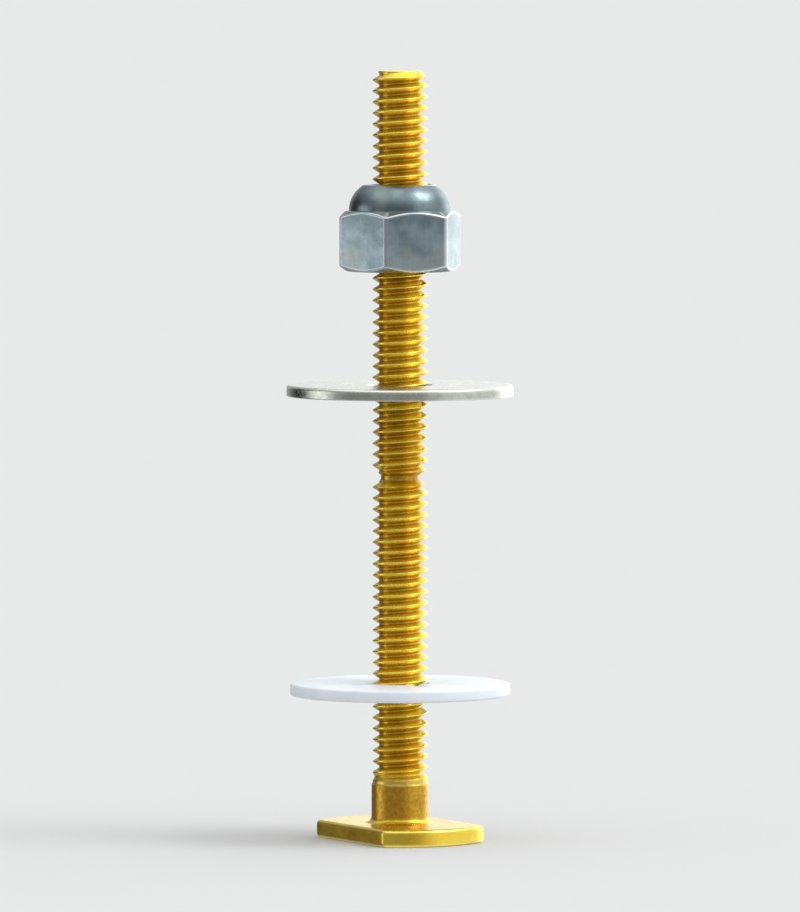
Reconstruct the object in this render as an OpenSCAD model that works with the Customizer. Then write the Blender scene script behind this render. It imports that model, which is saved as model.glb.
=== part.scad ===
// Toilet floor bolt set: a brass T-bolt, its plastic retaining washer, a steel flat
// washer and an open-end cap nut, stacked on one axis as they come off the bench.
// +Z runs up the bolt, +X runs along the head, and the head stands on z = 0.

/* [Bolt] */
// Length of the bolt, from under its head to its tip
bolt_length = 88.9; // [70:0.1:120]
// Outside diameter of the thread
thread_diameter = 6.35; // [5:0.05:8]
// Height of one turn of the thread
thread_pitch = 1.27; // [1:0.01:1.6]
// Bevel at the tip of the bolt
tip_bevel = 0.8; // [0.3:0.1:1.2]

/* [Break-off groove] */
// Height of the middle of the groove above the underside of the head
groove_height = 42; // [24:0.5:60]
// Width of the groove at the outside of the thread
groove_width = 2; // [1.2:0.1:4]
// How much deeper the groove is than the roots of the thread
groove_depth = 0.2; // [0.1:0.05:0.8]

/* [T-head] */
// Length of the head, across its two round ends
head_length = 20.6; // [16:0.1:26]
// Width of the head, across its two flats
head_width = 13.5; // [9:0.1:15.5]
// Thickness of the head
head_thickness = 2; // [1.8:0.1:4]
// Bevel round the edges of the head
head_bevel = 0.4; // [0.1:0.05:0.8]
// How far the plain neck stands out past the thread, so that the retaining washer stops on it
neck_step = 0.12; // [0.12:0.01:0.4]
// Length of the plain neck
neck_length = 4.6; // [2:0.1:8]
// Radius of the fillet where the neck meets the head
neck_fillet = 0.8; // [0.2:0.1:1]

/* [Retaining washer] */
// Outside diameter of the retaining washer
retainer_diameter = 25.4; // [18:0.1:32]
// Thickness of the retaining washer
retainer_thickness = 1.4; // [1:0.1:3]
// Bevel round the edges of the retaining washer
retainer_bevel = 0.3; // [0.1:0.05:0.45]
// Space between the thread and the hole of the retaining washer, on the radius
retainer_clearance = 0.04; // [0.02:0.01:0.1]
// Number of slits that let the hole grip the thread
slit_count = 4; // [2:1:6]
// Width of one slit
slit_width = 0.8; // [0.4:0.1:1.2]
// Length of one slit, outwards from the hole
slit_length = 3; // [1:0.5:5]
// Height of the gap between the head and the retaining washer
flange_gap = 14.8; // [8:0.1:20]

/* [Flat washer] */
// Outside diameter of the flat washer
washer_diameter = 26.2; // [18:0.1:32]
// Thickness of the flat washer
washer_thickness = 1.3; // [0.8:0.1:2.5]
// Space between the thread and the hole of the flat washer, on the radius
washer_clearance = 0.4; // [0.1:0.05:0.8]
// Bevel round the edges of the flat washer
washer_bevel = 0.15; // [0.05:0.05:0.3]
// Height of the gap between the flat washer and the nut
washer_gap = 13.1; // [4:0.1:16]

/* [Cap nut] */
// Width of the nut across its flats
nut_across_flats = 12.7; // [11:0.1:16]
// Height of the six-sided part of the nut
nut_hex_height = 7; // [5:0.1:9]
// Slope of the bevels at both ends of the six-sided part
nut_bevel_angle = 30; // [20:1:35]
// Width of the level ring between the six-sided part and the cap
cap_step = 0.25; // [0.1:0.05:0.4]
// How far the side of the cap stands in from the flats
cap_inset = 0.45; // [0.3:0.05:0.9]
// Width of the level ring round the hole at the top of the cap
cap_rim = 0.5; // [0.2:0.05:0.8]
// Height of the round cap above the six-sided part
cap_height = 3; // [1.5:0.1:3.4]
// Space between the thread and the hole of the nut, on the radius
nut_clearance = 0.05; // [0.02:0.01:0.1]
// Bevel at both ends of the hole
nut_lead_in = 0.4; // [0.1:0.05:0.6]
// Turn of the nut about the bolt
nut_turn = 17; // [0:1:59]
// Length of thread that stands out above the nut
thread_above_nut = 13.1; // [4:0.1:20]

/* [Hidden] */
$fn = 96;

// How far a cut runs past the surfaces that it opens
overcut = 1;

thread_radius = thread_diameter / 2;
neck_radius = thread_radius + neck_step;
groove_floor = groove_width / 4;
neck_top = head_thickness + neck_length;

// A 60 degree thread form: the flanks lean 30 degrees and the crest is an eighth of the pitch.
flank_angle = 30;
thread_depth = 0.6134 * thread_pitch;
crest_width = thread_pitch / 8;
flank_height = thread_depth * tan(flank_angle);
root_width = thread_pitch - crest_width - 2 * flank_height;
root_radius = thread_radius - thread_depth;
groove_radius = root_radius - groove_depth;
thread_top = bolt_length - tip_bevel;
turn_count = floor((thread_top - neck_top) / thread_pitch);

retainer_hole_radius = thread_radius + retainer_clearance;
retainer_bottom = head_thickness + flange_gap;
washer_hole_radius = thread_radius + washer_clearance;

nut_sides = 6;
nut_corner_radius = nut_across_flats / 2 / cos(180 / nut_sides);
nut_hole_radius = thread_radius + nut_clearance;
nut_mouth_radius = nut_hole_radius + nut_lead_in;
cap_radius = nut_across_flats / 2 - cap_inset;
cap_top_radius = nut_mouth_radius + cap_rim;
nut_height = nut_hex_height + cap_height;
nut_bottom = bolt_length - thread_above_nut - nut_height;
washer_bottom = nut_bottom - washer_gap - washer_thickness;

// The thread as rings one pitch apart: crest, flank, root, and the next flank up to the next crest.
function thread_outline() = [
    for (turn = [0 : turn_count - 1], corner = [0 : 3])
        let (
            foot = neck_top + turn * thread_pitch,
            rise = [0, crest_width, crest_width + flank_height, crest_width + flank_height + root_width]
        )
        [corner < 2 ? thread_radius : root_radius, foot + rise[corner]]
];

// Half of the bolt without its head: neck, thread and bevelled tip. It starts inside the head.
module shank_profile() {
    polygon(concat(
        [[0, head_thickness / 2], [neck_radius, head_thickness / 2], [neck_radius, neck_top]],
        thread_outline(),
        [
            [thread_radius, neck_top + turn_count * thread_pitch],
            [thread_radius, thread_top],
            [thread_radius - tip_bevel, bolt_length],
            [0, bolt_length]
        ]
    ));
}

// The hollow fillet round the foot of the neck.
module neck_fillet_profile() {
    difference() {
        translate([0, head_thickness / 2])
            square([neck_radius + neck_fillet, head_thickness / 2 + neck_fillet]);
        translate([neck_radius + neck_fillet, head_thickness + neck_fillet])
            circle(r = neck_fillet);
    }
}

// The V cut where the spare end of the bolt is snapped off.
module groove_profile() {
    reach = thread_radius + overcut;
    slope = (groove_width - groove_floor) / 2 / (thread_radius - groove_radius);
    half_mouth = groove_floor / 2 + slope * (reach - groove_radius);
    translate([0, groove_height])
        polygon([
            [groove_radius, -groove_floor / 2],
            [reach, -half_mouth],
            [reach, half_mouth],
            [groove_radius, groove_floor / 2]
        ]);
}

// Half of a ring, bevelled along its four edges, standing on z = 0.
module ring_profile(hole_radius, rim_radius, thickness, bevel) {
    polygon([
        [hole_radius, bevel],
        [hole_radius + bevel, 0],
        [rim_radius - bevel, 0],
        [rim_radius, bevel],
        [rim_radius, thickness - bevel],
        [rim_radius - bevel, thickness],
        [hole_radius + bevel, thickness],
        [hole_radius, thickness - bevel]
    ]);
}

// Section of a bar that is bevelled along its four edges, standing on y = 0.
module bar_section(width, height, bevel) {
    half = width / 2;
    polygon([
        [-half, bevel],
        [-half + bevel, 0],
        [half - bevel, 0],
        [half, bevel],
        [half, height - bevel],
        [half - bevel, height],
        [-half + bevel, height],
        [-half, height - bevel]
    ]);
}

// A disc with two sides sawn off flat.
module head() {
    head_radius = head_length / 2;
    intersection() {
        rotate_extrude()
            polygon([
                [0, 0],
                [head_radius - head_bevel, 0],
                [head_radius, head_bevel],
                [head_radius, head_thickness - head_bevel],
                [head_radius - head_bevel, head_thickness],
                [0, head_thickness]
            ]);
        rotate([90, 0, 90])
            linear_extrude(height = 2 * head_length, center = true)
                bar_section(head_width, head_thickness, head_bevel);
    }
}

module t_bolt() {
    color("goldenrod")
    difference() {
        union() {
            head();
            rotate_extrude() shank_profile();
            rotate_extrude() neck_fillet_profile();
        }
        rotate_extrude() groove_profile();
    }
}

module retaining_washer() {
    color("aliceblue")
    translate([0, 0, retainer_bottom])
    difference() {
        rotate_extrude()
            ring_profile(retainer_hole_radius, retainer_diameter / 2, retainer_thickness, retainer_bevel);
        for (slit = [0 : slit_count - 1])
            rotate([0, 0, slit * 360 / slit_count])
                translate([0, -slit_width / 2, -overcut])
                    cube([
                        retainer_hole_radius + slit_length,
                        slit_width,
                        retainer_thickness + 2 * overcut
                    ]);
    }
}

module flat_washer() {
    color("silver")
    translate([0, 0, washer_bottom])
        rotate_extrude()
            ring_profile(washer_hole_radius, washer_diameter / 2, washer_thickness, washer_bevel);
}

// The six-sided part, with its corners turned off at both ends.
module nut_hex() {
    foot_radius = nut_across_flats / 2 - cap_step;
    top_radius = cap_radius + cap_step;
    foot_rise = (nut_corner_radius - foot_radius) * tan(nut_bevel_angle);
    top_drop = (nut_corner_radius - top_radius) * tan(nut_bevel_angle);
    intersection() {
        cylinder(r = nut_corner_radius, h = nut_hex_height, $fn = nut_sides);
        rotate_extrude()
            polygon([
                [0, 0],
                [foot_radius, 0],
                [nut_corner_radius, foot_rise],
                [nut_corner_radius, nut_hex_height - top_drop],
                [top_radius, nut_hex_height],
                [0, nut_hex_height]
            ]);
    }
}

// Half of the cap. Its side is one arc, upright at the foot, that ends at the level ring round the hole:
// with its centre at the foot's height, (cap_radius - c)^2 = (cap_top_radius - c)^2 + cap_height^2.
module cap_profile() {
    arc_centre = (pow(cap_radius, 2) - pow(cap_top_radius, 2) - pow(cap_height, 2))
        / 2 / (cap_radius - cap_top_radius);
    translate([0, nut_hex_height / 2])
        square([cap_radius, nut_hex_height / 2]);
    translate([0, nut_hex_height])
        intersection() {
            square([cap_radius, cap_height]);
            union() {
                square([cap_top_radius, cap_height]);
                translate([arc_centre, 0])
                    circle(r = cap_radius - arc_centre);
            }
        }
}

// The hole through the nut, opened out at both ends.
module nut_hole() {
    rotate_extrude()
        polygon([
            [0, -overcut],
            [nut_mouth_radius, -overcut],
            [nut_mouth_radius, 0],
            [nut_hole_radius, nut_lead_in],
            [nut_hole_radius, nut_height - nut_lead_in],
            [nut_mouth_radius, nut_height],
            [nut_mouth_radius, nut_height + overcut],
            [0, nut_height + overcut]
        ]);
}

module cap_nut() {
    color("lightsteelblue")
    translate([0, 0, nut_bottom])
    rotate([0, 0, nut_turn])
    difference() {
        union() {
            nut_hex();
            rotate_extrude() cap_profile();
        }
        nut_hole();
    }
}

t_bolt();
retaining_washer();
flat_washer();
cap_nut();
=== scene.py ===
# Toilet floor bolt set: brass T-bolt, plastic retaining disc, steel flat washer and open-end cap nut.
# The part's own frame, +Z up the bolt. Shapes are worked out in millimetres and become metres in makePiece.

import math

import bmesh
import bpy
import numpy as np
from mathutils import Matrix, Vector


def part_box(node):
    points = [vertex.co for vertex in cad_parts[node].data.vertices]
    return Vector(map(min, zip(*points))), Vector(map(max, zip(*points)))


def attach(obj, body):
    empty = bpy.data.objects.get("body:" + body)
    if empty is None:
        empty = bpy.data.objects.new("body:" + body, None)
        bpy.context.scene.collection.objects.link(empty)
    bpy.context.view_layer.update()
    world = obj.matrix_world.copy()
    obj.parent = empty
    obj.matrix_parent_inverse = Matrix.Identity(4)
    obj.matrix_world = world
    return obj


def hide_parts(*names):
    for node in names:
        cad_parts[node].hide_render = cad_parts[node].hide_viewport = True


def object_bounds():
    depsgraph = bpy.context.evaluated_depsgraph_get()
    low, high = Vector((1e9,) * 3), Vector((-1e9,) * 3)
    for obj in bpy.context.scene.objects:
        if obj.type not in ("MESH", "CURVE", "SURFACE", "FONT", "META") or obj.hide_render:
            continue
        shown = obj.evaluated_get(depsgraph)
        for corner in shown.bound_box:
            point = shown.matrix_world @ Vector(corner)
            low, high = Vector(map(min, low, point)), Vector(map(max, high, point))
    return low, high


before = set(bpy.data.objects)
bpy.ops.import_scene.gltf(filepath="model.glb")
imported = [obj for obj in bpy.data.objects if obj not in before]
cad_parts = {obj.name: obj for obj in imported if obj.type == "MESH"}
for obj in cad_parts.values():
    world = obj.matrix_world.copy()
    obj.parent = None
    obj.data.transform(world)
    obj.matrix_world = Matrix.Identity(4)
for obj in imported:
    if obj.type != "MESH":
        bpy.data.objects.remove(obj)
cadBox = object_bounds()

mm = 0.001
fullTurn = 2 * math.pi
quarterTurn = fullTurn / 4
mergeDistance = 2e-7  # metres
sharpAngle = 50  # degrees
noiseRange = (0.3, 0.7)  # where nearly all values of a noise lie


# Lowest and highest height of a node at rest, in mm
def cadHeights(node):
    low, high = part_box(node)
    return low.z / mm, high.z / mm


# Reach of a round node from the bolt's axis, in mm
def cadRadius(node):
    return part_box(node)[1].x / mm


# Lower of a and b with the crease filled: min(a, b) - max(k - |a - b|, 0)^2 / 4k
def softMin(a, b, k):
    return np.minimum(a, b) - np.maximum(k - np.abs(a - b), 0) ** 2 / (4 * k)


# Higher of a and b with the crease filled, the mirror image of softMin
def softMax(a, b, k):
    return -softMin(-a, -b, k)


# Smooth step: 3t^2 - 2t^3 for t held between 0 and 1
def easeIn(t):
    t = np.clip(t, 0, 1)
    return t * t * (3 - 2 * t)


# Direction in plan: (cos q, sin q)
def unit(angle):
    return np.stack([np.cos(angle), np.sin(angle)], axis=-1)


# Points on the circle: (r cos q, r sin q, z), for arrays of radius, angle and height
def onCircle(radius, angle, height):
    radius, angle, height = np.broadcast_arrays(radius, angle, height)
    return np.stack([radius * np.cos(angle), radius * np.sin(angle), height], axis=-1)


# Plan points (x, y) lifted to one height: (x, y, z)
def atHeight(place, height):
    return np.concatenate([place, np.full((len(place), 1), height)], axis=1)


# Rounds the corners of a profile. corners is (corner, column, 2): radius and height.
# A corner C with unit vectors u and v towards its neighbours becomes the curve
# (1-t)^2 (C + cut u) + 2t(1-t) C + t^2 (C + cut v), with one guard row beyond each end of it.
# Gives the rows and the share of edge wear on each row.
def roundedRows(corners, cuts, wear, looped):
    steps = 5
    guard = 0.12
    longestCut = 0.42  # as a share of the shorter side at the corner
    longestGuard = 0.49
    shortest = 1e-9
    wearAcross = [0, 0.4, 0.85, 1, 0.85, 0.4, 0]  # guard row, the curve's five rows, guard row
    count = len(corners)
    ahead = np.roll(corners, -1, axis=0) - corners
    behind = np.roll(corners, 1, axis=0) - corners
    aheadLength = np.maximum(np.linalg.norm(ahead, axis=2, keepdims=True), shortest)
    behindLength = np.maximum(np.linalg.norm(behind, axis=2, keepdims=True), shortest)
    cut = np.reshape(np.array(cuts, float), (count, 1, 1))
    cut = np.minimum(cut, longestCut * np.minimum(aheadLength, behindLength))
    ahead = ahead / aheadLength
    behind = behind / behindLength
    t = np.linspace(0, 1, steps).reshape(1, steps, 1, 1)
    first = (corners + cut * behind)[:, None]
    last = (corners + cut * ahead)[:, None]
    arc = (1 - t) ** 2 * first + 2 * t * (1 - t) * corners[:, None] + t**2 * last
    guardBehind = corners + behind * np.minimum(cut + guard, longestGuard * behindLength)
    guardAhead = corners + ahead * np.minimum(cut + guard, longestGuard * aheadLength)
    rows = np.concatenate([guardBehind[:, None], arc, guardAhead[:, None]], axis=1)
    worn = np.outer(wear, wearAcross)
    if looped:
        return rows.reshape(-1, *corners.shape[1:]), worn.ravel()
    inner = rows[1:-1].reshape(-1, *corners.shape[1:])
    rows = np.concatenate([corners[:1], inner, corners[-1:]])
    return rows, np.concatenate([[0], worn[1:-1].ravel(), [0]])


# A closed skin from a grid of points (row, column, 3) in mm. The last column repeats the first, and the
# ends are poles, or the last row meets the first when looped. Doubles are merged, so every seam closes.
def makePiece(name, points, looped, attributes, material, node, body):
    rowCount, columnCount = points.shape[:2]
    index = np.arange(rowCount * columnCount).reshape(rowCount, columnCount)
    above = np.roll(index, -1, axis=0)
    if not looped:
        index, above = index[:-1], above[:-1]
    faces = np.stack([index[:, :-1], index[:, 1:], above[:, 1:], above[:, :-1]], axis=-1).reshape(-1, 4)
    mesh = bpy.data.meshes.new(name)
    mesh.vertices.add(rowCount * columnCount)
    mesh.vertices.foreach_set("co", (points * mm).ravel())
    mesh.loops.add(faces.size)
    mesh.loops.foreach_set("vertex_index", faces.ravel())
    mesh.polygons.add(len(faces))
    mesh.polygons.foreach_set("loop_start", np.arange(len(faces)) * 4)
    mesh.update(calc_edges=True)
    for key, values in attributes.items():
        layer = mesh.attributes.new(key, "FLOAT", "POINT")
        layer.data.foreach_set("value", np.broadcast_to(values, points.shape[:2]).ravel())
    shell = bmesh.new()
    shell.from_mesh(mesh)
    bmesh.ops.remove_doubles(shell, verts=shell.verts, dist=mergeDistance)
    shell.to_mesh(mesh)
    shell.free()
    mesh.shade_smooth()
    mesh.set_sharp_from_angle(angle=math.radians(sharpAngle))
    mesh.materials.append(material)
    piece = bpy.data.objects.new(name, mesh)
    bpy.context.scene.collection.objects.link(piece)
    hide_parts(node)
    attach(piece, body)
    print(name, len(mesh.vertices), "vertices")


def newMaterial(name):
    material = bpy.data.materials.new(name)
    material.use_nodes = True
    tree = material.node_tree
    return material, tree, tree.nodes["Principled BSDF"]


def plug(tree, socket, value):
    if isinstance(value, bpy.types.NodeSocket):
        tree.links.new(value, socket)
    else:
        socket.default_value = value


# Adds a node, sets what it is given by input name, and returns it
def addNode(tree, kind, inputs=None, **settings):
    made = tree.nodes.new(kind)
    for key, value in settings.items():
        setattr(made, key, value)
    for key, value in (inputs or {}).items():
        plug(tree, made.inputs[key], value)
    return made


def objectPoint(tree, scale=(1, 1, 1), turn=0):
    place = addNode(tree, "ShaderNodeTexCoord").outputs["Object"]
    inputs = {"Vector": place, "Scale": scale, "Rotation": (0, 0, math.radians(turn))}
    return addNode(tree, "ShaderNodeMapping", inputs).outputs["Vector"]


def noise(tree, point, scale, detail, rough=0.55):
    inputs = {"Vector": point, "Scale": scale, "Detail": detail, "Roughness": rough}
    return addNode(tree, "ShaderNodeTexNoise", inputs).outputs["Fac"]


# Maps one range of a value to another, held between its ends
def spread(tree, value, fromLow, fromHigh, toLow, toHigh):
    inputs = {"Value": value, "From Min": fromLow, "From Max": fromHigh, "To Min": toLow, "To Max": toHigh}
    return addNode(tree, "ShaderNodeMapRange", inputs).outputs["Result"]


# Grows from nothing to most while the value goes from low to high
def share(tree, value, low, high, most=1):
    return spread(tree, value, low, high, 0, most)


def maths(tree, operation, a, b):
    made = addNode(tree, "ShaderNodeMath", operation=operation)
    plug(tree, made.inputs[0], a)
    plug(tree, made.inputs[1], b)
    return made.outputs[0]


# The Mix node's colour sockets go by number: inputs 6 and 7 are A and B, output 2 is the result
def blendColour(tree, factor, a, b):
    made = addNode(tree, "ShaderNodeMix", data_type="RGBA")
    plug(tree, made.inputs["Factor"], factor)
    plug(tree, made.inputs[6], a)
    plug(tree, made.inputs[7], b)
    return made.outputs[2]


def surfaceValue(tree, name):
    return addNode(tree, "ShaderNodeAttribute", attribute_name=name).outputs["Fac"]


def bump(tree, height, distance, strength, normal=None):
    inputs = {"Height": height, "Distance": distance, "Strength": strength}
    if normal is not None:
        inputs["Normal"] = normal
    return addNode(tree, "ShaderNodeBump", inputs).outputs["Normal"]


# Colour, roughness and two layers of bump, each with its depth in metres and its strength
def finishShader(tree, shader, tone, dullness, fine, fineBump, broad, broadBump):
    plug(tree, shader.inputs["Base Color"], tone)
    plug(tree, shader.inputs["Roughness"], dullness)
    normal = bump(tree, fine, *fineBump)
    normal = bump(tree, broad, *broadBump, normal)
    plug(tree, shader.inputs["Normal"], normal)


# Brass bolt: T-head, neck, thread, break-off groove and tip, in millimetres.
# Each noise is its scale per metre and its detail.
bolt = {
    "headLength": 20.6,
    "headWidth": 13.5,
    "headThickness": 2.0,
    "headCorner": 0.9,  # radius of the head's four upright corners
    "headEdge": 0.45,  # rounding round its top and underside
    "flatPaintedShade": 0.75,  # painted shade on the head's two flats, as a share of the tarnish colour in the thread's roots
    "neckRadius": 3.295,
    "neckTop": 6.6,
    "neckFillet": 0.8,
    # painted shade: the neck under the disc and the thread's run-out are darkened with the tarnish colour
    "neckPaintedShade": 1.0,
    "crestRadius": 3.175,
    "rootRadius": 2.396,
    "pitch": 1.27,
    "flankAngle": 30,  # degrees from square to the axis
    "crestFlat": 0.159,
    "crestWear": 0.09,  # depth of the bright band on the crests
    "threadSoftening": 0.1,
    "threadRows": (0.04, 0.08, 0.125, 0.30, 0.475, 0.53),  # distances of a turn's rows from its crest
    "runOut": 1.9,  # length over which the thread fades out at the neck
    "grooveHeight": 42.0,
    "grooveFloor": 0.25,  # half of its level floor
    "grooveRadius": 2.196,
    "grooveSlope": 1.305,
    "grooveSoftening": 0.08,
    "tipBevel": 0.8,
    "bevelClear": 0.03,  # how far the bevel's cone starts outside the crests
    "cleanTip": 0.3,  # length at the tip that has no tarnish in its roots
    "cleanTipFade": 0.5,
    "endEdge": 0.12,
    "gold": (0.92, 0.715, 0.09, 1),
    "deepGold": (0.82, 0.53, 0.045, 1),
    # tarnish in the roots and in stains, also used as painted shade on the neck and the head's flats
    "tarnishAndShade": (0.38, 0.15, 0.015, 1),
    "wornGold": (0.95, 0.77, 0.19, 1),
    "cloudNoise": (260, 5),
    "cloudRange": (0.35, 0.68),
    "speckNoise": (2600, 3),
    "grimeDepth": (0.2, 1.0),  # root depths between which the grime grows, and with it the painted shade on the neck and flats
    "grimeMost": 0.85,
    "grimePatches": (0.6, 1),
    "stainNoise": (700, 4),
    "stainRange": (0.6, 0.8),
    "stainMost": 0.35,
    "wornMost": 0.45,
    "dullness": (0.20, 0.34),
    "rootDullness": 0.14,
    "rollNoise": (9000, 2),
    "rollStretch": (0.03, 0.03, 1),
    "rollBump": (0.000012, 0.5),
    "dentNoise": (1500, 4),
    "dentBump": (0.00003, 0.25),
}


# One turn of a 60 degree thread round the axis: with w the distance from the crest's middle along the
# axis, r = crest - (w - crestFlat/2) / tan 30, held between root and crest with softened corners.
# Height and angle enter only as z - pitch q / 2 pi, so the crest climbs one pitch a turn.
def threadRadius(height, angle):
    phase = (height / bolt["pitch"] - angle / fullTurn) % 1
    away = bolt["pitch"] * np.abs(phase - 0.5)
    slope = math.tan(math.radians(bolt["flankAngle"]))
    flank = bolt["crestRadius"] - (away - bolt["crestFlat"] / 2) / slope
    soft = bolt["threadSoftening"]
    return softMax(softMin(flank, bolt["crestRadius"], soft), bolt["rootRadius"], soft)


# Rows that climb with the thread: z = pitch (row + q / 2 pi), held between low and high.
# Each turn has rows on the crest, both flanks and the root, mirrored about the crest's middle.
def threadRows(low, high, angle):
    half = np.array(bolt["threadRows"]) / bolt["pitch"]
    oneTurn = np.concatenate([[0], 0.5 - half[::-1], [0.5], 0.5 + half])
    first = math.floor(low / bolt["pitch"]) - 1
    last = math.ceil(high / bolt["pitch"]) + 1
    turns = np.arange(first, last + 1)
    rows = (turns[:, None] + oneTurn[None, :]).ravel()
    return np.clip(bolt["pitch"] * (rows[:, None] + angle[None, :] / fullTurn), low, high)


# Outline of the head seen from above, quarter by quarter: an arc of radius a, a small corner arc
# C + c (cos q, sin q) with C at distance a - c from the axis and w/2 - c from the flat, then the flat.
# Gives points and outward normals, with the first point repeated at the end.
def headOutline():
    endSteps = 10
    cornerSteps = 5
    flatSteps = 12
    reach = bolt["headLength"] / 2
    side = bolt["headWidth"] / 2
    corner = bolt["headCorner"]
    centre = np.array([math.sqrt((reach - corner) ** 2 - (side - corner) ** 2), side - corner])
    turnIn = math.atan2(centre[1], centre[0])
    endArc = np.linspace(0, turnIn, endSteps)
    cornerArc = np.linspace(turnIn, quarterTurn, cornerSteps)[1:]
    flat = np.linspace(math.atan2(side, centre[0]), quarterTurn, flatSteps)[1:]
    flatPoints = np.stack([side / np.tan(flat), np.full_like(flat, side)], axis=-1)
    points = np.concatenate([reach * unit(endArc), centre + corner * unit(cornerArc), flatPoints])
    normals = np.concatenate([unit(endArc), unit(cornerArc), unit(np.full_like(flat, quarterTurn))])
    mirror = np.array([-1, 1])
    whole = []
    for part in (points, normals):
        halfWay = np.concatenate([part, part[-2::-1] * mirror])
        whole.append(np.concatenate([halfWay, -halfWay[1:]]))
    return whole


# The bolt's skin, from the middle of its underside to the middle of its tip. The head's rows are
# headOutline moved in by an inset, and all other rows are circles (r cos q, r sin q, z) whose r and z
# come from the neck's profile, the thread and the end face.
def boltSurface():
    low, high = cadHeights("t_bolt")
    outline, normals = headOutline()
    angle = np.unwrap(np.arctan2(outline[:, 1], outline[:, 0]))
    angle = angle - angle[0]
    top = low + bolt["headThickness"]
    edge = bolt["headEdge"]
    guard = 0.3  # distance of a guard row from a rounding, on the head's wide faces
    sideGuard = 0.15
    rimWear = [0.3, 0.7, 1, 1, 0.7, 0.3]

    def headRow(inset, height):
        return atHeight(outline - inset * normals, height)

    # Underside, rounded rim, top: quarter rounds with inset = edge (1 - sin q), height = edge (1 - cos q)
    quarter = np.linspace(0, quarterTurn, len(rimWear))
    halfRim = len(rimWear) // 2
    rows = [headRow(0, low) * [0, 0, 1], headRow(0, low) * [0.5, 0.5, 1], headRow(edge + guard, low)]
    wear = [0, 0, 0]
    sideStart = len(rows) + halfRim
    rows += [headRow(edge * (1 - math.sin(q)), low + edge * (1 - math.cos(q))) for q in quarter]
    wear += rimWear
    rows += [headRow(0, low + edge + sideGuard), headRow(0, top - edge - sideGuard)]
    wear += [0, 0]
    headSide = slice(sideStart, len(rows) + halfRim)
    rows += [headRow(edge * (1 - math.cos(q)), top - edge * (1 - math.sin(q))) for q in quarter]
    wear += rimWear
    rows += [headRow(edge + guard, top)]
    wear += [0]

    # Hollow fillet up to the neck, then the neck and the small shoulder where the thread starts
    fillet = bolt["neckFillet"]
    neck = bolt["neckRadius"]
    neckTop = bolt["neckTop"]
    neckStart = len(rows)
    rows += [onCircle(neck + fillet + guard, angle, top)]
    for q in quarter:
        rows += [onCircle(neck + fillet * (1 - math.sin(q)), angle, top + fillet * (1 - math.cos(q)))]
    neckProfile = [(0, 1.6), (0, 0.3), (0, 0.16), (0.04, 0.08)]  # inset, distance below the neck's top
    rows += [onCircle(neck - inset, angle, neckTop - drop) for inset, drop in neckProfile]
    wear += [0] * (len(quarter) + 3) + [0.5, 0.8]
    neckRows = slice(neckStart, len(rows))

    # Thread, with the break-off groove and the tip's bevel cut into it
    crest = bolt["crestRadius"]
    heights = threadRows(neckTop, high - bolt["endEdge"], angle)
    radii = threadRadius(heights, angle[None, :])
    fade = easeIn((heights - neckTop) / bolt["runOut"])
    radii = crest - fade * (crest - radii)
    away = np.maximum(np.abs(heights - bolt["grooveHeight"]) - bolt["grooveFloor"], 0)
    radii = softMin(radii, bolt["grooveRadius"] + bolt["grooveSlope"] * away, bolt["grooveSoftening"])
    bevel = crest + bolt["bevelClear"] - (heights - high + bolt["tipBevel"])
    radii = softMin(radii, bevel, bolt["threadSoftening"])
    threadPart = onCircle(radii, angle[None, :], heights)

    # End face, slightly dished
    rim = radii[-1]
    endProfile = [(0.02, 0.4), (0.07, 0.1), (0.14, 0), (0.35, 0)]  # inset, drop as a share of endEdge
    endDish = [(1.2, 0.03), (0.5, 0.045), (0.0, 0.05)]  # radius, depth
    endRows = [onCircle(rim - inset, angle, high - drop * bolt["endEdge"]) for inset, drop in endProfile]
    endRows += [onCircle(radius, angle, high - sunk) for radius, sunk in endDish]
    points = np.concatenate([np.array(rows), threadPart, np.array(endRows)])

    # Tarnish in the roots and the groove, and painted shade in the same tarnish colour on the neck and on
    # the head's two flats
    span = slice(len(rows), len(rows) + len(radii))
    depth = np.zeros(points.shape[:2])
    belowTip = np.clip((high - bolt["cleanTip"] - heights) / bolt["cleanTipFade"], 0, 1)
    depth[span] = (crest - radii) / (crest - bolt["grooveRadius"]) * belowTip
    # painted shade: the thread's run-out next to the neck is darkened like the neck
    depth[span] = np.maximum(depth[span], bolt["neckPaintedShade"] * (1 - fade))
    facing = (np.abs(normals[:, 1]) - 0.8) / 0.2  # 0 at the round ends and 1 on the flats
    # painted shade: the head's two flats are darkened towards the tarnish colour
    depth[headSide] = bolt["flatPaintedShade"] * easeIn(facing)
    # painted shade: the neck is darkened with the tarnish colour, growing up from the head's top
    depth[neckRows] = bolt["neckPaintedShade"] * easeIn((points[neckRows, :, 2] - top) / fillet)

    # Wear on the head's edges, the neck's shoulder and the crests
    worn = np.zeros(points.shape[:2])
    worn[: len(rows)] = np.array(wear)[:, None]
    distance = np.hypot(points[span][..., 0], points[span][..., 1])
    worn[span] = np.clip((distance - crest + bolt["crestWear"]) / bolt["crestWear"], 0, 1)
    return points, {"tarnishAndShadeDepth": np.clip(depth, 0, 1), "edgeWear": worn}


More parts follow.
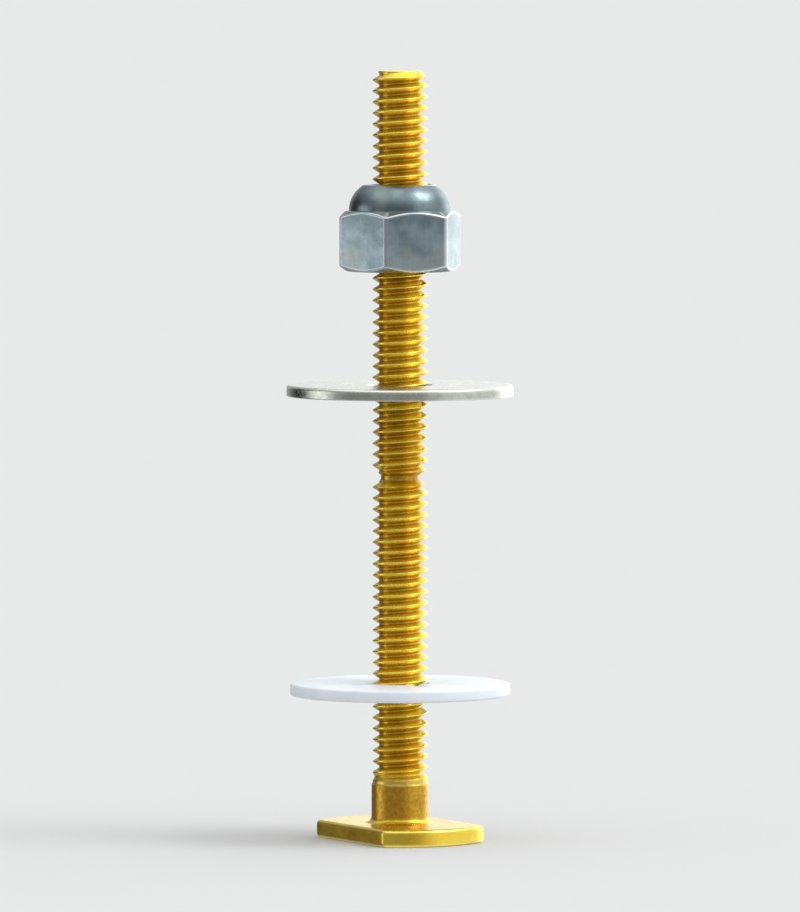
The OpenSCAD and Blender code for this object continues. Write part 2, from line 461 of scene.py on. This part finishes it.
def brassMaterial():
    material, tree, shader = newMaterial("rolledBrass")
    point = objectPoint(tree)
    clouds = noise(tree, point, *bolt["cloudNoise"])
    specks = noise(tree, point, *bolt["speckNoise"])
    depth = surfaceValue(tree, "tarnishAndShadeDepth")
    worn = surfaceValue(tree, "edgeWear")
    tone = blendColour(tree, share(tree, clouds, *bolt["cloudRange"]), bolt["gold"], bolt["deepGold"])
    # this mask holds the root grime and also the painted shade on the neck and the head's flats
    inRootsAndShade = share(tree, depth, *bolt["grimeDepth"], bolt["grimeMost"])
    grimeAndShade = maths(tree, "MULTIPLY", inRootsAndShade, spread(tree, specks, *noiseRange, *bolt["grimePatches"]))
    stains = noise(tree, point, *bolt["stainNoise"])
    stains = share(tree, stains, *bolt["stainRange"], bolt["stainMost"])
    tone = blendColour(tree, maths(tree, "MAXIMUM", grimeAndShade, stains), tone, bolt["tarnishAndShade"])
    tone = blendColour(tree, share(tree, worn, 0, 1, bolt["wornMost"]), tone, bolt["wornGold"])
    shader.inputs["Metallic"].default_value = 1.0
    satin = spread(tree, specks, *noiseRange, *bolt["dullness"])
    dullness = maths(tree, "ADD", satin, share(tree, depth, 0, 1, bolt["rootDullness"]))
    rolled = noise(tree, objectPoint(tree, bolt["rollStretch"]), *bolt["rollNoise"])
    dents = noise(tree, point, *bolt["dentNoise"])
    finishShader(tree, shader, tone, dullness, rolled, bolt["rollBump"], dents, bolt["dentBump"])
    return material


# Open-end cap nut
nut = {
    "turn": 17,  # degrees about the bolt
    "sides": 6,
    "acrossFlats": 12.7,
    "cornerRounding": 0.45,
    "cornerWear": 0.8,
    "cornerWearReach": 1.7,  # as a multiple of the corner's own arc
    "hexHeight": 7.0,
    "bevelAngle": 30,
    "footRadius": 6.1,
    "topRadius": 6.15,
    "capRadius": 5.9,
    "capTopRadius": 4.125,
    "mouthRadius": 3.625,
    "threadGap": 0.06,  # room to the bolt's thread
    "boreRadius": 2.58,
    "boreSoftening": 0.05,
    "plate": (0.28, 0.35, 0.37, 1),
    "shade": (0.15, 0.20, 0.21, 1),
    "straw": (0.36, 0.38, 0.33, 1),
    "bright": (0.78, 0.82, 0.84, 1),
    "insideShade": (0.18, 0.20, 0.21, 1),
    "paintedShadeHeights": (0.0685, 0.0728),  # metres, where the plate is darkened towards the cap as painted shade
    "paintedShadeMost": 0.55,
    "cloudNoise": (420, 4),
    "cloudRange": (0.35, 0.65),
    "cloudMost": 0.8,
    "strawNoise": (190, 2),
    "strawRange": (0.55, 0.72),
    "strawMost": 0.5,
    "brightMost": 0.7,
    "insideMost": 0.5,
    "grainNoise": (3200, 3),
    "dullness": (0.27, 0.34),
    "edgePolish": 0.1,
    "drawnNoise": (5200, 2),
    "drawnStretch": (1, 1, 0.05),
    "drawnBump": (0.000012, 0.6),
    "dentNoise": (900, 4),
    "dentBump": (0.00003, 0.4),
}


# Distance from the axis to the side of the nut, and half the angle that a corner's arc takes up.
# It is apothem / cos(30 - |p|) for an angle p from the nearest corner, and on the corner's own arc
# c cos p + sqrt(rho^2 - c^2 sin^2 p), centred at c = (apothem - rho) / cos 30.
def hexRadius(fromCorner):
    halfSide = math.pi / nut["sides"]
    apothem = nut["acrossFlats"] / 2
    rho = nut["cornerRounding"]
    centre = (apothem - rho) / math.cos(halfSide)
    away = np.abs(fromCorner)
    flat = apothem / np.cos(halfSide - away)
    arc = centre * np.cos(away) + np.sqrt(np.maximum(rho**2 - (centre * np.sin(away)) ** 2, 0))
    touch = math.atan2(rho * math.sin(halfSide), centre + rho * math.cos(halfSide))
    return np.where(away < touch, arc, flat), touch


# The nut's skin. Outside, a profile of radius and height is carried round the axis, and on the six
# sides its radius is hexRadius. Inside, the radius is threadRadius plus a gap.
def nutSurface():
    low, high = cadHeights("cap_nut")
    touch = hexRadius(np.zeros(1))[1]
    oneSide = fullTurn / nut["sides"]
    near = touch * np.array([0.35, 0.7, 1.0, nut["cornerWearReach"]])
    half = np.concatenate([near, np.radians([6.5, 10, 14, 18, 22, 26])])
    side = np.concatenate([[0], half, [oneSide / 2], oneSide - half[::-1]])
    corner = np.arange(nut["sides"])[:, None] * oneSide
    angle = np.concatenate([(corner + side[None, :]).ravel(), [fullTurn]])
    fromCorner = (angle + oneSide / 2) % oneSide - oneSide / 2
    outer = hexRadius(fromCorner)[0]
    angle = angle + math.radians(nut["turn"])
    lean = math.tan(math.radians(nut["bevelAngle"]))
    level = low + nut["hexHeight"]
    full = np.ones_like(outer)

    # The cap's side is one arc, upright at its foot: (R - c)^2 = (r - c)^2 + h^2 with r its top radius
    foot, rim = nut["capRadius"], nut["capTopRadius"]
    rise = high - level
    centre = (foot**2 - rim**2 - rise**2) / 2 / (foot - rim)
    capRadius = foot - centre
    capSteps = 12
    sweep = np.linspace(0, math.asin(rise / capRadius), capSteps)[1:-1]

    # Each corner of the profile: radius, height, cut of its rounding, wear
    profile = [
        (nut["mouthRadius"], low, 0.10, 0.6),
        (nut["footRadius"], low, 0.12, 0.8),
        (outer, low + (outer - nut["footRadius"]) * lean, 0.16, 1),
        (outer, level - (outer - nut["topRadius"]) * lean, 0.16, 1),
        (nut["topRadius"], level, 0.09, 0.8),
        (foot, level, 0.08, 0),
    ]
    profile += [(centre + capRadius * math.cos(q), level + capRadius * math.sin(q), 0.1, 0) for q in sweep]
    profile += [(rim, high, 0.16, 1), (nut["mouthRadius"], high, 0.12, 0.6)]
    corners = np.stack([np.stack([r * full, z * full], axis=-1) for r, z, _, _ in profile])
    cuts = [row[2] for row in profile]
    wear = [row[3] for row in profile]
    rows, worn = roundedRows(corners, cuts, wear, looped=False)
    outside = onCircle(rows[..., 0], angle[None, :], rows[..., 1])

    # Inside: the bolt's own thread plus a gap, no closer than the bore, opened by a 45 degree cone at
    # each end
    heights = threadRows(low, high, angle)[::-1]
    inside = threadRadius(heights, angle[None, :]) + nut["threadGap"]
    inside = softMax(inside, nut["boreRadius"], nut["boreSoftening"])
    cone = nut["mouthRadius"] - np.minimum(heights - low, high - heights)
    inside = np.maximum(inside, cone)
    within = onCircle(inside, angle[None, :], heights)

    # Wear on the six upright edges, only on the sides and not on the ends or the cap
    points = np.concatenate([outside, within])
    alongEdge = np.clip(1 - np.abs(fromCorner) / (nut["cornerWearReach"] * touch), 0, 1)
    onSide = (rows[..., 1] > low + 0.2) & (rows[..., 1] < level - 0.1)
    onSide = onSide & (rows[..., 0] > nut["topRadius"] + 0.1)
    worn = np.maximum(worn[:, None], np.where(onSide, nut["cornerWear"] * alongEdge[None, :], 0))
    worn = np.concatenate([worn, np.zeros(within.shape[:2])])
    depth = np.concatenate([np.zeros(outside.shape[:2]), np.ones(within.shape[:2])])
    return points, {"edgeWear": worn, "insideThread": depth}


def plateMaterial():
    material, tree, shader = newMaterial("zincPlate")
    point = objectPoint(tree)
    clouds = noise(tree, point, *nut["cloudNoise"])
    grain = noise(tree, point, *nut["grainNoise"])
    worn = surfaceValue(tree, "edgeWear")
    inside = surfaceValue(tree, "insideThread")
    height = addNode(tree, "ShaderNodeSeparateXYZ", {"Vector": point}).outputs["Z"]
    # painted shade: the plate is darkened towards the top of the hex and the cap, added to the random
    # mottling
    paintedShadeTowardsCap = share(tree, height, *nut["paintedShadeHeights"], nut["paintedShadeMost"])
    paintedShadeAndMottling = maths(tree, "ADD", paintedShadeTowardsCap, share(tree, clouds, *nut["cloudRange"], nut["cloudMost"]))
    tone = blendColour(tree, maths(tree, "MINIMUM", paintedShadeAndMottling, 1.0), nut["plate"], nut["shade"])
    tint = share(tree, noise(tree, point, *nut["strawNoise"]), *nut["strawRange"], nut["strawMost"])
    tone = blendColour(tree, tint, tone, nut["straw"])
    tone = blendColour(tree, share(tree, worn, 0, 1, nut["brightMost"]), tone, nut["bright"])
    # painted shade: the inside of the nut is darkened towards insideShade
    tone = blendColour(tree, share(tree, inside, 0, 1, nut["insideMost"]), tone, nut["insideShade"])
    shader.inputs["Metallic"].default_value = 1.0
    satin = spread(tree, grain, *noiseRange, *nut["dullness"])
    dullness = maths(tree, "SUBTRACT", satin, share(tree, worn, 0, 1, nut["edgePolish"]))
    drawn = noise(tree, objectPoint(tree, nut["drawnStretch"]), *nut["drawnNoise"])
    dents = noise(tree, point, *nut["dentNoise"])
    finishShader(tree, shader, tone, dullness, drawn, nut["drawnBump"], dents, nut["dentBump"])
    return material


# Steel flat washer
washer = {
    "holeRadius": 3.575,
    "rolledEdge": 0.42,  # stamped round on the upper side
    "cutEdge": 0.14,
    "flatCut": 0.1,  # for the row in the middle of each face
    "columns": 144,
    "steel": (0.54, 0.56, 0.49, 1),
    "dark": (0.29, 0.31, 0.26, 1),
    "scratched": (0.85, 0.85, 0.80, 1),
    "wornSteel": (0.86, 0.86, 0.80, 1),
    "cloudNoise": (520, 7, 0.62),  # scale, detail and roughness
    "cloudRange": (0.38, 0.7),
    "cloudMost": 0.5,
    "grainNoise": (2800, 3),
    "scratchMost": 0.35,
    "wornMost": 0.6,
    "dullness": (0.20, 0.36),
    "scratchBump": (0.000006, 0.6),
    "dentNoise": (800, 4),
    "dentBump": (0.00003, 0.3),
    # Two sets of scratches: stretch, turn in degrees, noise, range of the noise that shows as a scratch
    "scratches": [
        ((0.04, 1, 1), 25, (6000, 2), (0.6, 0.75)),
        ((1, 0.04, 1), 70, (5000, 2), (0.62, 0.78)),
    ],
}


# A ring with its four corners rounded: the profile's radius and height are carried round the axis
def washerSurface():
    low, high = cadHeights("flat_washer")
    outer = cadRadius("flat_washer")
    angle = np.linspace(0, fullTurn, washer["columns"] + 1)
    full = np.ones_like(angle)
    hole = washer["holeRadius"]
    middle = (hole + outer) / 2
    square = [(hole, low), (middle, low), (outer, low), (outer, high), (middle, high), (hole, high)]
    corners = np.stack([np.stack([r * full, z * full], axis=-1) for r, z in square])
    cut, rolled, flat = washer["cutEdge"], washer["rolledEdge"], washer["flatCut"]
    cuts = [cut, flat, cut, rolled, flat, rolled]
    wear = [1, 0, 1, 1, 0, 1]
    rows, worn = roundedRows(corners, cuts, wear, looped=True)
    return onCircle(rows[..., 0], angle[None, :], rows[..., 1]), {"edgeWear": worn[:, None]}


def steelMaterial():
    material, tree, shader = newMaterial("stampedSteel")
    point = objectPoint(tree)
    clouds = noise(tree, point, *washer["cloudNoise"])
    grain = noise(tree, point, *washer["grainNoise"])
    worn = surfaceValue(tree, "edgeWear")
    layers = []
    for stretch, turn, pattern, shown in washer["scratches"]:
        lines = noise(tree, objectPoint(tree, stretch, turn), *pattern)
        layers.append(share(tree, lines, *shown))
    scratches = maths(tree, "MAXIMUM", *layers)
    darkness = share(tree, clouds, *washer["cloudRange"], washer["cloudMost"])
    tone = blendColour(tree, darkness, washer["steel"], washer["dark"])
    tone = blendColour(tree, share(tree, scratches, 0, 1, washer["scratchMost"]), tone, washer["scratched"])
    tone = blendColour(tree, share(tree, worn, 0, 1, washer["wornMost"]), tone, washer["wornSteel"])
    shader.inputs["Metallic"].default_value = 1.0
    dullness = spread(tree, grain, *noiseRange, *washer["dullness"])
    dents = noise(tree, point, *washer["dentNoise"])
    finishShader(tree, shader, tone, dullness, scratches, washer["scratchBump"], dents, washer["dentBump"])
    return material


# Plastic retaining disc with its cross of slits
disc = {
    "holeRadius": 3.215,
    "slits": 4,
    "slitWidth": 0.8,
    "slitEnd": 6.215,
    "slitCorner": 0.2,
    "mouthCorner": 0.4,
    "edge": 0.3,
    "white": (0.80, 0.835, 0.875, 1),
    "cool": (0.72, 0.77, 0.83, 1),
    "cloudNoise": (180, 3),
    "cloudRange": (0.35, 0.68),
    "grainNoise": (5200, 3),
    "dullness": (0.36, 0.52),
    "scatter": 0.2,
    "scatterColour": (1.0, 1.0, 1.1),
    "scatterDepth": 0.0008,  # metres
    "grainBump": (0.00001, 0.5),
    "sinkNoise": (420, 2),
    "sinkBump": (0.00005, 0.25),
}


# Outline of the hole, slit by slit: slit end, rounded into the wall, wall, rounded into the hole, hole arc.
# The corner at the mouth is an arc of radius m inside the plastic, centred where it touches both the
# slit's wall at half width w and the hole of radius r: (sqrt((r + m)^2 - (w + m)^2), w + m).
# Gives points and normals into the plastic, from the middle of one slit to the middle of the next.
def holeOutline():
    endSteps = 5
    wallSteps = 8
    mouthSteps = 6
    arcSteps = 12
    half = disc["slitWidth"] / 2
    end, hole = disc["slitEnd"], disc["holeRadius"]
    small, mouth = disc["slitCorner"], disc["mouthCorner"]
    step = fullTurn / disc["slits"]
    endCorner = np.linspace(0, quarterTurn, endSteps)
    inEnd = np.array([end - small, half - small]) + small * unit(endCorner)
    mouthCentre = np.array([math.sqrt((hole + mouth) ** 2 - (half + mouth) ** 2), half + mouth])
    lean = math.atan2(mouthCentre[1], mouthCentre[0])
    wallX = np.linspace(end - small, mouthCentre[0], wallSteps)[1:-1]
    wall = np.stack([wallX, np.full_like(wallX, half)], axis=-1)
    wallNormals = np.tile([0.0, 1.0], (len(wall), 1))
    mouthTurn = np.linspace(-quarterTurn, -fullTurn / 2 + lean, mouthSteps)
    inMouth = mouthCentre + mouth * unit(mouthTurn)
    arcTurn = np.linspace(lean, step / 2, arcSteps)[1:]
    points = np.concatenate([[[end, 0]], inEnd, wall, inMouth, hole * unit(arcTurn)])
    inward = np.concatenate([[[1, 0]], unit(endCorner), wallNormals, -unit(mouthTurn), unit(arcTurn)])
    flip = np.array([1, -1])
    turnBack = np.array([[math.cos(step), -math.sin(step)], [math.sin(step), math.cos(step)]])
    whole = []
    for part in (points, inward):
        nextHalf = (part[-2::-1] * flip) @ turnBack.T
        section = np.concatenate([part, nextHalf])[:-1]
        allRound = []
        for k in range(disc["slits"]):
            c, s = math.cos(k * step), math.sin(k * step)
            allRound.append(section @ np.array([[c, s], [-s, c]]))
        allRound = np.concatenate(allRound)
        whole.append(np.concatenate([allRound, allRound[:1]]))
    return whole


# The skin runs from the hole's rim over the underside, round the outer rim and back over the top.
# Each edge is a quarter round: offset = edge (1 - sin q) and height = edge (1 - cos q) from the flats.
def discSurface():
    low, high = cadHeights("retaining_washer")
    outer = cadRadius("retaining_washer")
    edge = disc["edge"]
    guard = 0.2
    outline, inward = holeOutline()
    inset = outline + edge * inward
    angle = np.unwrap(np.arctan2(inset[:, 1], inset[:, 0]))
    halfWay = (inset + onCircle(outer, angle, 0)[:, :2]) / 2

    def holeRow(q, base, side):
        return atHeight(outline + edge * (1 - math.sin(q)) * inward, base + side * edge * (1 - math.cos(q)))

    def rimRow(q, base, side):
        return onCircle(outer - edge * (1 - math.sin(q)), angle, base + side * edge * (1 - math.cos(q)))

    edgeSteps = 6
    up = np.linspace(0, quarterTurn, edgeSteps)
    down = up[::-1]
    rows = [holeRow(q, low, 1) for q in down]
    rows += [atHeight(halfWay, low), onCircle(outer - edge - guard, angle, low)]
    rows += [rimRow(q, low, 1) for q in up]
    rows += [onCircle(outer, angle, (low + high) / 2)]
    rows += [rimRow(q, high, -1) for q in down]
    rows += [onCircle(outer - edge - guard, angle, high), atHeight(halfWay, high)]
    rows += [holeRow(q, high, -1) for q in up]
    rows += [atHeight(outline, (low + high) / 2)]
    return np.array(rows), {}


def plasticMaterial():
    material, tree, shader = newMaterial("mouldedPlastic")
    point = objectPoint(tree)
    clouds = noise(tree, point, *disc["cloudNoise"])
    grain = noise(tree, point, *disc["grainNoise"])
    tone = blendColour(tree, share(tree, clouds, *disc["cloudRange"]), disc["white"], disc["cool"])
    shader.inputs["IOR"].default_value = 1.5
    shader.inputs["Subsurface Weight"].default_value = disc["scatter"]
    shader.inputs["Subsurface Radius"].default_value = disc["scatterColour"]
    shader.inputs["Subsurface Scale"].default_value = disc["scatterDepth"]
    dullness = spread(tree, grain, *noiseRange, *disc["dullness"])
    sinks = noise(tree, point, *disc["sinkNoise"])
    finishShader(tree, shader, tone, dullness, grain, disc["grainBump"], sinks, disc["sinkBump"])
    return material


points, attributes = boltSurface()
makePiece("boltBody", points, False, attributes, brassMaterial(), "t_bolt", "bolt")
points, attributes = discSurface()
plastic = plasticMaterial()
makePiece("retainingDisc", points, True, attributes, plastic, "retaining_washer", "retainer")
points, attributes = washerSurface()
makePiece("steelWasher", points, True, attributes, steelMaterial(), "flat_washer", "washer")
points, attributes = nutSurface()
makePiece("capNutBody", points, True, attributes, plateMaterial(), "cap_nut", "nut")

# Camera and floor: metres and degrees, and the lens in millimetres
stage = {
    "floorRadius": 9.0,
    "floorSides": 96,
    "floorGap": 0.00002,  # keeps the floor just clear of the head's underside
    "floorColour": (0.60, 0.60, 0.592, 1),
    "floorSpeck": (0.597, 0.597, 0.589, 1),
    "speckNoise": (40, 2),
    "azimuth": 60,
    "elevation": 3.2,
    "lens": 400,
    "distance": 1.17,
}


# Studio round the object. A panel is its azimuth from the camera (positive to the camera's right), its
# elevation, the cosines from its middle at which it starts and is at its full strength, and that strength.
studio = {
    "baseLight": 0.38,
    "panels": [
        (90, 0, 0.3, 0.75, 0.6),  # broad and soft on the right
        (-91, 0, 0.93, 0.99, 1.4),  # narrow and bright on the left
        (-122, 0, 0.86, 0.97, -0.36),  # dark flag beside it, which takes light away
        (-168, 0, 0.8, 0.97, 0.12),  # faint, behind the object
        (152, 4, 0.78, 0.97, 1.6),  # bright, behind the object on the right
        (30, 85, 0.35, 0.95, 1.1),  # overhead
        (0, -90, 0.5, 0.95, 0.5),  # underneath, for what metal would show of the floor
    ],
    "lightTint": (0.97, 0.985, 1, 1),
    "horizonTint": (0.987, 1, 0.998, 1),
    "horizonLight": 0.8175,
    "sunPower": 0.9,
    "sunSize": 32,
    "sunAzimuth": 78,
    "sunElevation": 50,
}


# Direction (sin a cos e, -cos a cos e, sin e): azimuth 0 is towards -Y and 90 towards +X
def direction(azimuth, elevation):
    a, e = math.radians(azimuth), math.radians(elevation)
    return Vector((math.sin(a) * math.cos(e), -math.cos(a) * math.cos(e), math.sin(e)))


# Turns a camera or a lamp, which look along their own -Z, to look back against the direction
def lookAgainst(thing, towards):
    thing.rotation_mode = "QUATERNION"
    thing.rotation_quaternion = (-towards).to_track_quat("-Z", "Y")


# A flat matt disc: centre point and one ring, (R cos q, R sin q, z)
def makeFloor():
    height = cadBox[0].z - stage["floorGap"]
    sides = stage["floorSides"]
    angle = np.linspace(0, fullTurn, sides + 1)[:-1]
    ring = onCircle(stage["floorRadius"], angle, height)
    points = np.concatenate([[[0, 0, height]], ring])
    faces = [(0, 1 + k, 1 + (k + 1) % sides) for k in range(sides)]
    mesh = bpy.data.meshes.new("floor")
    mesh.from_pydata(points.tolist(), [], faces)
    material, tree, shader = newMaterial("paleFloor")
    speck = share(tree, noise(tree, objectPoint(tree), *stage["speckNoise"]), *noiseRange)
    tone = blendColour(tree, speck, stage["floorColour"], stage["floorSpeck"])
    plug(tree, shader.inputs["Base Color"], tone)
    shader.inputs["Roughness"].default_value = 1.0
    shader.inputs["Specular IOR Level"].default_value = 0.0
    mesh.materials.append(material)
    floor = bpy.data.objects.new("floor", mesh)
    bpy.context.scene.collection.objects.link(floor)
    floor.visible_glossy = False  # metal shows the studio's panels, not an endless pale floor


# A dim base plus the panels, each a smooth step of the cosine between a ray and the panel's middle.
# Camera rays see one even tone instead, the lit floor's own, so that the floor has no visible end.
def makeWorld():
    world = bpy.data.worlds.new("studio")
    world.use_nodes = True
    bpy.context.scene.world = world
    tree = world.node_tree
    background = tree.nodes["Background"]
    sight = addNode(tree, "ShaderNodeTexCoord").outputs["Generated"]
    total = studio["baseLight"]
    for azimuth, elevation, start, end, strength in studio["panels"]:
        where = direction(stage["azimuth"] + azimuth, elevation)
        towards = addNode(tree, "ShaderNodeVectorMath", {0: sight, 1: where}, operation="DOT_PRODUCT")
        inputs = {"Value": towards.outputs["Value"], "From Min": start, "From Max": end, "To Max": strength}
        panel = addNode(tree, "ShaderNodeMapRange", inputs, interpolation_type="SMOOTHSTEP")
        total = maths(tree, "ADD", panel.outputs["Result"], total)
    seen = addNode(tree, "ShaderNodeLightPath").outputs["Is Camera Ray"]
    lit = addNode(tree, "ShaderNodeMix", {"Factor": seen, "A": total, "B": studio["horizonLight"]})
    tint = blendColour(tree, seen, studio["lightTint"], studio["horizonTint"])
    plug(tree, background.inputs["Color"], tint)
    plug(tree, background.inputs["Strength"], lit.outputs["Result"])


def makeSun():
    sun = bpy.data.lights.new("softSun", "SUN")
    sun.energy = studio["sunPower"]
    sun.angle = math.radians(studio["sunSize"])
    lamp = bpy.data.objects.new("softSun", sun)
    bpy.context.scene.collection.objects.link(lamp)
    lookAgainst(lamp, direction(stage["azimuth"] + studio["sunAzimuth"], studio["sunElevation"]))


def makeCamera():
    cameraData = bpy.data.cameras.new("camera")
    cameraData.lens = stage["lens"]
    cameraData.clip_start = 0.01
    cameraData.clip_end = 30
    camera = bpy.data.objects.new("camera", cameraData)
    bpy.context.scene.collection.objects.link(camera)
    bpy.context.scene.camera = camera
    aim = direction(stage["azimuth"], stage["elevation"])
    middle = (cadBox[0] + cadBox[1]) / 2
    camera.location = middle + aim * stage["distance"]
    lookAgainst(camera, aim)


makeFloor()
makeWorld()
makeSun()
makeCamera()
bpy.context.scene.view_settings.view_transform = "Standard"
print("stage ready")
